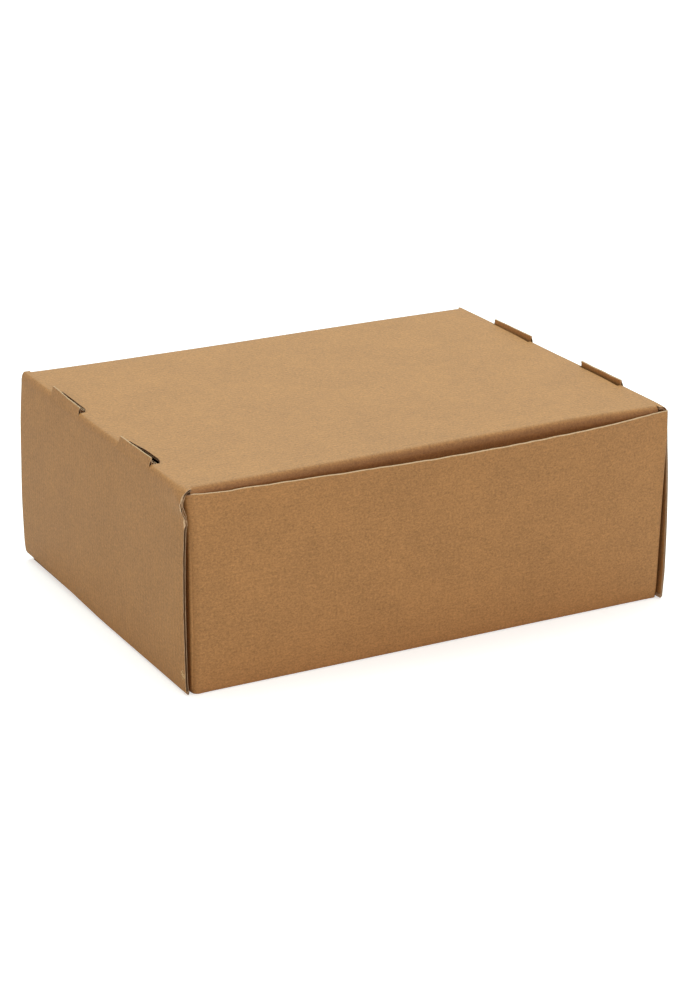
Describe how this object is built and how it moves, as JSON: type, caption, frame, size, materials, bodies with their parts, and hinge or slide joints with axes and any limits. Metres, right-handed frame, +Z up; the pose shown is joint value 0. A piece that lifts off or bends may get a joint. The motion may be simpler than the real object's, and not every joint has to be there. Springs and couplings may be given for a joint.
{
  "type": "closed cardboard box",
  "caption": "Closed roll-end mailing box folded from one sheet of fluted cardboard, standing upside down on its lid, with a tucked front flap that swings open.",
  "frame": {"origin": "middle of the lid's underside, on the floor", "axes": "+X along the width, -Y towards the front flap, +Z up, towards the base of the tray, which is on top"},
  "size_m": [0.3066, 0.239, 0.1207],
  "materials": {
    "kraft_board": "matte uncoated brown kraft liner"
  },
  "bodies": {
    "box": {"folded_box": "kraft_board"},
    "flap": {"front_flap": "kraft_board"}
  },
  "joints": [
    {"name": "front_flap_hinge", "type": "hinge", "parent": "box", "child": "flap", "pos_m": [0, -0.11325, 0.00075], "axis": [1, 0, 0], "range_deg": [0, 84]}
  ]
}
